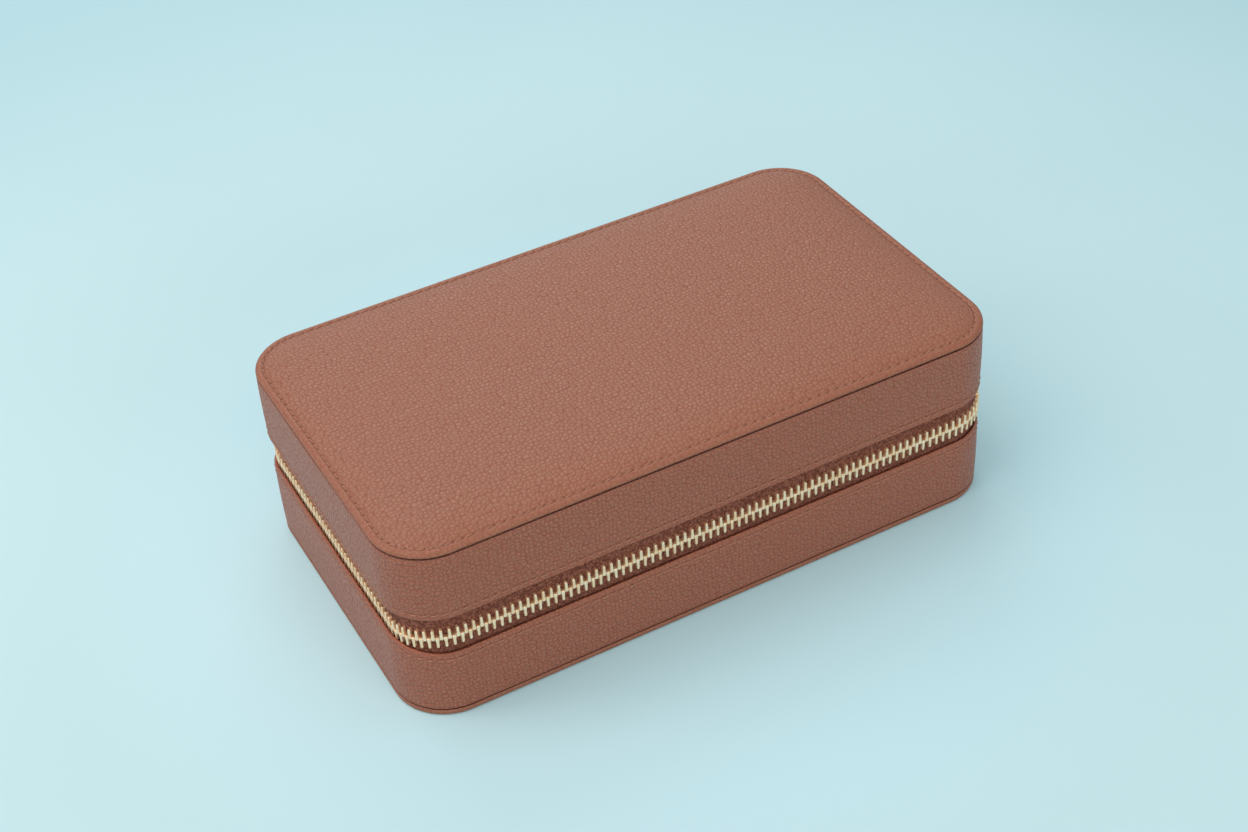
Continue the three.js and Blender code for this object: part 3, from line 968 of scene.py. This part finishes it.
def bar(x0, x1, y0, y1, low, high, bevel):
    return slab([(x0, y0), (x1, y0), (x1, y1), (x0, y1)], low, high, bevel)


BAR_OUT = 3.8
CHAIN_DEPTH = 2.9


def bent(points, steps=5):
    """A path through these points with its corners rounded."""
    points = np.asarray(points, float)
    path = [points[0]]
    for before, corner, after in zip(points, points[1:], points[2:]):
        reach = 0.9 * min(np.linalg.norm(corner - before), np.linalg.norm(after - corner)) / 2
        start = corner + unit(before - corner) * reach
        end = corner + unit(after - corner) * reach
        for t in np.linspace(0, 1, steps):
            path.append((1 - t) ** 2 * start + 2 * t * (1 - t) * corner + t * t * end)
    return np.array(path + [points[-1]])


def slider_shapes():
    """A slider drawn with X along the zip, its wide nose at +X, and Z out of the wall."""
    plan = [(-5.75, -3.3), (-5.2, -3.9), (-4.4, -4.25), (-1, -4.35), (3, -4.75), (4.6, -4.85),
            (5.35, -4.4), (5.75, -3.5)]
    plan = plan + [(x, -y) for x, y in reversed(plan)]
    shapes = [slab(plan, 0.3, 1.5, 0.42), slab(inward(plan, 0.7), 1.3, 1.68, 0.16),
              slab(plan, -CHAIN_DEPTH - 1.5, -CHAIN_DEPTH - 0.3, 0.42)]
    for side in (-1, 1):
        near, far = sorted((side * 3.62, side * 4.3))
        shapes += [bar(-5.0, 2.2, near, far, -0.82, 0.6, 0.15),
                   bar(-5.0, 2.2, near, far, -3.6, -2.2, 0.15)]
    shapes.append(bar(2.2, 4.6, -1.25, 1.25, -3.4, 0.5, 0.1))
    legs = [(-4.2, 0, 1.2), (-4.2, 0, BAR_OUT - 0.1), (-2.4, 0, BAR_OUT), (0, 0, BAR_OUT),
            (2.4, 0, BAR_OUT), (4.2, 0, BAR_OUT - 0.1), (4.2, 0, 1.2)]
    path = bent(legs)
    foot = 0.35 * smooth_step(-path[:, 2], -2.6, -1.5)
    shapes.append(strap(path, (0, 1, 0), 0.8 + foot, 0.62 + foot / 2, 14, 0.8))
    return shapes


def pull_path():
    """The strap's middle line, out of the wall and up, folded over the slider's bar."""
    turn = [(1.64 * math.cos(a), 1.64 * math.sin(a))
            for a in np.radians(np.linspace(180, -40, 20))]
    close = bent([turn[-1], (0.62, -2.6), (-0.72, -4.3), (-0.79, -7)], 8)
    inner = [(-1.62, z) for z in np.linspace(-23.4, -1.2, 34)]
    outer = [(-0.79, z) for z in np.linspace(-7.6, -23.4, 26)]
    return np.array(inner + turn + list(map(tuple, close[1:])) + outer)


PULL_HALF = 2.8


def zip_slider(name, middle, turned):
    facing = -1 if turned else 1
    turn = np.array([[0, 0, 1, HALF_X], [facing, 0, 0, middle], [0, facing, 0, ZIP_Z],
                     [0, 0, 0, 1]], float)
    body = f"{name}_zip_slider"
    casting = assembly(f"{name}_slider_casting", slider_shapes(), GOLD, turn)
    settle(casting, body, "zip_metal", f"{name}_slider")

    path = pull_path()
    end = np.clip((-path[:, 1] - 21.0) / 2.5, 0, 1)
    width = PULL_HALF * np.sqrt(1 - 0.75 * end**3)
    flat = points_at(path[:, 0], 0.0, path[:, 1])
    place = np.eye(4)
    place[:3, 3] = HALF_X + BAR_OUT, middle, ZIP_Z
    folded = assembly(f"{name}_pull_strap", [strap(flat, (0, 1, 0), width, 0.38)], STRAP, place)
    settle(folded, f"{name}_zip_pull", "strap_leather", f"{name}_pull")

    down = np.arange(-6.6, -21.4, -2.1)
    sides = [(y, z, 0, -1) for y in (-1.95, 1.95) for z in down]
    across = [(y, -22.0, 1, 0) for y in (-0.7, 0.7)]
    y, z, along_y, along_z = np.array(sides + across).T
    sewing = stitches(f"{name}_pull_stitches", place[:3, 3] + points_at(-0.42, y, z),
                      points_at(0.0, along_y, along_z), (1, 0, 0), THREAD, 1.5, 0.1)
    settle(sewing, f"{name}_zip_pull", "strap_leather")


SLIDER_PLACE = (box_mm("rear_slider")[0][1] + box_mm("rear_slider")[1][1]) / 2
zip_slider("front", -SLIDER_PLACE, False)
zip_slider("rear", SLIDER_PLACE, True)


# ---- Linings --------------------------------------------------------------------------------
def lining_wall(body, seam, rim, seed):
    """The suede-covered inner wall, whose rim stands up to meet the other half's."""
    length, up = abs(rim - seam), np.sign(rim - seam)
    inside = [(LINER_IN, t) for t in np.linspace(0, length - 0.6, 12)]
    rim_arc = arc((LINER_IN - 0.6, length - 0.6), 0.6, 0, 180, 8)[1:-1]
    outside = [(LINER_OUT, t) for t in np.linspace(length - 0.6, 0, 6)]
    profile = np.array(inside + rim_arc + outside)
    profile[:, 1] = seam + up * profile[:, 1]

    def ripple(distance, inset, height):
        wave = 0.14 * track_noise(distance, height, 16, seed)
        return inset + wave * (inset > LINER_FACE), height

    skin = sweep(f"{body}_lining_band", profile, LINING, ripple)
    settle(skin, body, "lining", f"{body}_lining_wall")


def spread(name, node, body, slot, material, seed, facing, amount=0.25):
    """A flat layer, cut round, that lies a little uneven on the side it faces."""
    low, high = box_mm(node)
    inset = HALF_X - high[0]
    face, back = (high[2], low[2]) if facing > 0 else (low[2], high[2])
    edge = 0.35

    def level(flat):
        waves = flat_noise(*flat.T, 24, seed) + 0.4 * flat_noise(*flat.T, 7, seed + 4)
        return face - facing * amount * (0.5 + 0.5 * waves) * smooth_step(
            inset_of(flat), inset + 0.6, inset + 5)

    middle = [(inset + 6, share, level) for share in (0.03, *np.linspace(0.12, 0.84, 7), 0.93)]
    shown = [(inset + d, 1, level) for d in (6, 4, 2.4, 1.2, edge)]
    rounded = [(inset + 0.1, 1, face - facing * 0.1), (inset, 1, face - facing * edge),
               (inset, 1, back + facing * edge), (inset + edge, 1, back)]
    hidden = [(inset + 6, 1, back), (inset + 6, 0.6, back), (inset + 6, 0.03, back)]
    layer = plate(name, middle + shown + rounded + hidden, material)
    return settle(layer, body, slot, node)


lining_wall("base", *levels("base_lining_wall"), 31.0)
lining_wall("lid", *levels("lid_lining_wall")[::-1], 37.0)
spread("base_floor_suede", "base_lining_floor", "base", "lining", LINING, 41.0, 1)
spread("lid_ceiling_suede", "lid_lining_ceiling", "lid", "lining", LINING, 43.0, -1)
spread("top_foam", "top_padding", "lid", "foam", FOAM, 47.0, 1, 0.1)


# ---- Dividers -------------------------------------------------------------------------------
BLOCK_STEP = 3.0


def soft_block(name, low, high, radius, material, seed, amount):
    """A block with rounded edges, whose faces wave a little."""
    low, high = np.asarray(low, float), np.asarray(high, float)
    half, middle = (high - low) / 2, (high + low) / 2
    lines = []
    for h in half:
        count = max(2, round(2 * (h - radius) / BLOCK_STEP) + 1)
        inner = np.linspace(-h + radius, h - radius, count)
        bend = radius * np.array([0, 0.134, 0.5])
        lines.append(np.concatenate([-h + bend, inner, h - bend[::-1]]))
    points, faces = {}, []

    def vertex(index):
        if index not in points:
            points[index] = len(points)
        return points[index]

    for axis in range(3):
        a, b = [k for k in range(3) if k != axis]
        for end in (0, len(lines[axis]) - 1):
            for i in range(len(lines[a]) - 1):
                for j in range(len(lines[b]) - 1):
                    face = []
                    for di, dj in ((0, 0), (1, 0), (1, 1), (0, 1)):
                        index = [0, 0, 0]
                        index[axis], index[a], index[b] = end, i + di, j + dj
                        face.append(vertex(tuple(index)))
                    faces.append(face)
    spots = np.array([[lines[k][index[k]] for k in range(3)] for index in points])
    core = np.clip(spots, -half + radius, half - radius)
    away = spots - core
    far = np.linalg.norm(away, axis=1)[:, None]
    out = away / np.maximum(far, 1e-9)
    waves = amount * soft_noise(spots + middle, 11, seed)[:, None]
    spots = core + out * (radius + waves)
    piece = object_from(name, middle + spots, faces, material)
    face_outwards(piece)
    return piece


for number, divider in enumerate(("ring_divider", "long_divider", "cross_divider")):
    block_low, block_high = box_mm(divider)
    wrapped = soft_block(f"{divider}_wrapped", block_low, block_high, 0.85, LINING,
                         51.0 + number, 0.12)
    settle(wrapped, "base", "lining", divider)


# ---- Ring rolls -----------------------------------------------------------------------------
def ring_roll(number):
    """A stuffed roll of suede: full in the middle, rounded and puckered at its ends."""
    low, high = box_mm(f"ring_roll_{number}")
    half, middle = (high - low) / 2, (high + low) / 2
    end = 3.2
    bend = np.array([0.02, 0.12, 0.3, 0.55, 0.8])
    along = np.concatenate([-half[0] + end * bend, np.linspace(-half[0] + end, half[0] - end, 17),
                            half[0] - end * bend[::-1]])
    around = 36
    angle = circle_angles(around)
    wide, tall = squared_off(np.cos(angle), 0.82), squared_off(np.sin(angle), 0.72)
    left = np.clip((half[0] - np.abs(along)) / end, 0, 1)
    full = np.sqrt(1 - (1 - left) ** 2 * 0.9)
    rings = []
    for x, share, size in zip(along, left, full):
        pucker = 1 - 0.05 * (1 - share) * np.cos(angle * 9 + number)
        ring = points_at(x, wide * half[1] * size * pucker, tall * half[2] * size * pucker)
        waves = 0.16 * soft_noise(ring + middle, 9, 61.0 + number)
        ring[:, 1:] *= (1 + waves / 8)[:, None]
        rings.append(middle + ring)
    roll = assembly(f"ring_roll_{number}_stuffed", [rings_solid(rings)], ROLL_CLOTH)
    settle(roll, "base", "ring_pad", f"ring_roll_{number}")


for roll_number in range(1, 8):
    ring_roll(roll_number)


# ---- Lid pocket -----------------------------------------------------------------------------
def lid_pocket():
    """A gathered pocket, sewn down on three sides, with an elastic hem towards the front."""
    low, high = box_mm("lid_pocket")
    xs = np.linspace(low[0], high[0], 221)
    shares = np.concatenate([[0, 0.02, 0.05], np.linspace(0.09, 1, 20)])
    thick, deep = 0.8, high[2] - low[2] - 0.5
    grid_x, grid_s = np.meshgrid(xs, shares, indexing="ij")
    grid_y = high[1] - (high[1] - low[1]) * grid_s
    sewn = 1 - (np.abs(grid_x) / high[0]) ** 14
    belly = smooth_step(grid_s, -0.02, 0.3) * (1 - 0.18 * smooth_step(grid_s, 0.7, 1))
    bent_x = grid_x + 1.6 * flat_noise(grid_x, grid_y, 14, 78.0)
    fold = 0.55 * np.sin(bent_x * 2 * math.pi / 5.4)
    fold = fold + 0.6 * soft_noise(points_at(grid_x, 0.0, grid_s * 3), 6, 71.0)
    gather = fold * (1.3 * smooth_step(grid_s, 0.3, 0.95) + 0.15) * belly
    slack = 0.7 * flat_noise(grid_x, grid_y, 19, 75.0) * belly
    drop = (deep - 1.9) * belly * sewn + (gather + slack) * sewn
    under = high[2] - thick - np.clip(drop, 0, deep - thick)
    lower = points_at(grid_x, grid_y, under)
    upper = points_at(grid_x, grid_y, under + thick)
    edge = (lower[:, -1:] + upper[:, -1:]) / 2
    hem = [edge + [0, -math.sin(turn) * 0.9, -math.cos(turn) * thick / 2]
           for turn in np.radians([45, 90, 135])]
    points = np.concatenate([lower] + hem + [upper[:, ::-1]], 1)
    across = np.arange(points.shape[1] + 1)
    piece = grid("lid_pocket_gathered", points, xs, across, LINING)
    settle(piece, "lid", "lining", "lid_pocket")

    at = np.linspace(low[0] + 3, high[0] - 3, 62)
    sewn_line = lower[:, -5]
    level = np.interp(at, xs, sewn_line[:, 2])
    spots = points_at(at, sewn_line[0, 1], level)
    ahead = unit(points_at(1.0, 0.0, np.gradient(level, at)))
    out = points_at(ahead[:, 2], 0.0, -ahead[:, 0])
    sewing = stitches("lid_pocket_stitches", spots, ahead, out, LINING_THREAD, 1.9, 0.1, 0)
    settle(sewing, "lid", "lining")


LINING_THREAD = thread("lining thread", rgb(196, 178, 158))
lid_pocket()


# ---- Necklace tabs --------------------------------------------------------------------------
ROUND_SIDES = 32


def turned(profile, centre):
    """Points and faces of a round part from (radius, height) points."""
    angle = circle_angles(ROUND_SIDES)
    return rings_solid([points_at(centre[0] + r * np.cos(angle), centre[1] + r * np.sin(angle), z)
                        for r, z in profile])


# Each half's outline: a share of its radius, then 1 for a height from its head, or 0 from its
# foot, and the height.
SNAP_CAP = [(0, 0, -0.25), (0.35, 0, -0.22), (0.62, 0, -0.08), (0.8, 0, 0.14), (0.84, 0, 0.3),
            (0.9, 0, 0.22), (0.97, 0, 0.34), (1, 0, 0.6), (0.97, 1, -0.06), (0.6, 1, 0), (0, 1, 0)]
SNAP_SOCKET = [(0, 1, -0.5), (0.4, 1, -0.5), (0.46, 0, 0.25), (0.56, 0, 0.02), (0.72, 0, 0),
               (0.8, 0, 0.3), (0.94, 0, 0.4), (1, 0, 0.62), (0.97, 1, 0), (0, 1, 0)]


def snap_half(node, body, outline):
    low, high = box_mm(node)
    radius = (high[0] - low[0]) / 2
    profile = [(max(share * radius, 0.15), (low, high)[end][2] + z) for share, end, z in outline]
    half = assembly(f"{node}_pressed", [turned(profile, (low + high)[:2] / 2)], GOLD)
    settle(half, body, "zip_metal", node)


def necklace_tab(number):
    body, node = f"tab_{number}", f"necklace_tab_{number}"
    low, high = box_mm(node)
    middle_x, level = (low[0] + high[0]) / 2, (low[2] + high[2]) / 2
    half_width, thick = (high[0] - low[0]) / 2, (high[2] - low[2]) / 2
    share = np.concatenate([[0, 0.01, 0.03], np.linspace(0.06, 1, 30)])
    y = low[1] + 0.05 + (high[1] - low[1] - 0.1) * share
    end = np.clip((y - (high[1] - 4.6)) / 4.6, 0, 1)
    width = half_width * np.sqrt(1 - 0.93 * end**2.4)
    root = np.sqrt(1 - (1 - np.clip((y - low[1]) / thick, 0, 1)) ** 2 * 0.8)
    tip = np.sqrt(1 - (1 - np.clip((high[1] - y) / thick, 0, 1)) ** 2 * 0.8)
    path = points_at(middle_x, y, level)
    shape = strap(path, (1, 0, 0), width, thick * root * tip, 20, 0.35)
    settle(assembly(f"{node}_strap", [shape], STRAP), body, "strap_leather", node)

    down = np.arange(low[1] + 2.5, high[1] - 5, 2.2)
    spots = [(middle_x + x, at, low[2]) for x in (1.6 - half_width, half_width - 1.6)
             for at in down]
    sewing = stitches(f"{node}_stitches", spots, (0, 1, 0), (0, 0, -1), THREAD, 1.6, 0.1)
    settle(sewing, body, "strap_leather")
    snap_half(f"snap_cap_{number}", body, SNAP_CAP)
    snap_half(f"snap_socket_{number}", "lid", SNAP_SOCKET)


for tab_number in (1, 2, 3):
    necklace_tab(tab_number)

welt_low, welt_high = box_mm("tab_welt")
settle(soft_block("tab_welt_folded", welt_low, welt_high, 0.9, STRAP, 81.0, 0.1),
       "lid", "strap_leather", "tab_welt")
welt_x = np.arange(welt_low[0] + 2.5, welt_high[0] - 2, 3.0)
welt_spots = points_at(welt_x, (welt_low[1] + welt_high[1]) / 2, welt_low[2])
settle(stitches("tab_welt_stitches", welt_spots, (1, 0, 0), (0, 0, -1), THREAD),
       "lid", "strap_leather")

dress(("bottom_board", "base_wall_board", "lid_wall_board", "top_board"), BOARD)


# ---- Floor, light and camera ----------------------------------------------------------------
def tabletop(name):
    """Smooth, matt, pale blue card, with light and shade painted on by distance from the middle.
    """
    look = Look(name)
    place = look.place()
    fibre = look.noise(place, 0.8, 4.0, 0.6)
    drift = look.noise(place, 0.004, 2.0)
    color = look.shade(rgb(188, 219, 225), rgb(191, 222, 228), drift, 0.3, 0.7)
    color = look.shade(color, rgb(182, 218, 224), fibre, 0.3, 0.7, 0.0, 0.05)
    away = look.vector("LENGTH", place, out="Value")
    # Painted light: within about 110 to 190 mm of the middle the card turns lighter and more cyan,
    # lifting the shadow round the case.
    color = look.shade(color, rgb(194, 229, 238), away, 190, 110)
    # Painted shade: from 240 to 480 mm out the card darkens, as the light falls off towards the
    # corners of the view.
    color = look.shade(color, rgb(162, 202, 212), away, 240, 480, 0.0, 0.5)
    # Painted light: from 600 mm out to 2.4 m the card turns lighter again, where the lamps' light
    # falls off.
    color = look.shade(color, rgb(206, 232, 238), away, 600, 2400)
    look.set(Base_Color=color, Roughness=0.9, Normal=look.bump(fibre, 0.01))
    look.set(Specular_IOR_Level=0.15)
    return look.material


FLOOR_HALF = 4000
floor = object_from("floor", [(x * FLOOR_HALF, y * FLOOR_HALF, -0.05) for x, y in
                              ((-1, -1), (1, -1), (1, 1), (-1, 1))],
                    [[0, 1, 2, 3]], tabletop("pale card"))

scene = bpy.context.scene
scene.view_settings.view_transform = "Standard"
world = bpy.data.worlds.new("soft white room")
scene.world = world
world.use_nodes = True
sky = world.node_tree.nodes["Background"].inputs
sky["Color"].default_value = (0.81, 1, 1.06, 1)
sky["Strength"].default_value = 0.54


def soft_box(name, place, size, power, color):
    lamp = bpy.data.lights.new(name, "AREA")
    lamp.color = color
    lamp.shape = "SQUARE"
    lamp.size = size
    lamp.energy = power
    box = bpy.data.objects.new(name, lamp)
    scene.collection.objects.link(box)
    box.location = place
    box.rotation_mode = "QUATERNION"
    box.rotation_quaternion = (-Vector(place)).to_track_quat("-Z", "Y")


soft_box("overhead softbox", (-0.7, 0.1, 1.3), 1.25, 11, (1, 0.83, 0.77))
soft_box("back softbox", (0.3, 1.25, 0.95), 1.2, 6, (1, 0.92, 0.87))
soft_box("side softbox", (-1.25, 0.55, 0.5), 0.5, 2.6, (1, 0.78, 0.66))
soft_box("front softbox", (-0.1, -1.5, 0.8), 1.5, 11, (1, 0.86, 0.76))


def place_camera(azimuth, elevation, roll, distance, target):
    a, e, r = (math.radians(x) for x in (azimuth, elevation, roll))
    back = Vector((math.sin(a) * math.cos(e), -math.cos(a) * math.cos(e), math.sin(e)))
    right = (-back).cross(Vector((0, 0, 1))).normalized()
    up = right.cross(-back)
    across = right * math.cos(r) + up * math.sin(r)
    upright = up * math.cos(r) - right * math.sin(r)
    lens = bpy.data.cameras.new("camera")
    camera = bpy.data.objects.new("camera", lens)
    scene.collection.objects.link(camera)
    lens.sensor_width, lens.lens = 36, 59.43
    lens.clip_start, lens.clip_end = 0.01, 20
    turn = Matrix((across, upright, back)).transposed().to_4x4()
    turn.translation = Vector(target) + back * distance
    camera.matrix_world = turn
    scene.camera = camera


place_camera(-26.22, 38.39, -4.20, 0.690, (0.01774, 0.0361, 0))
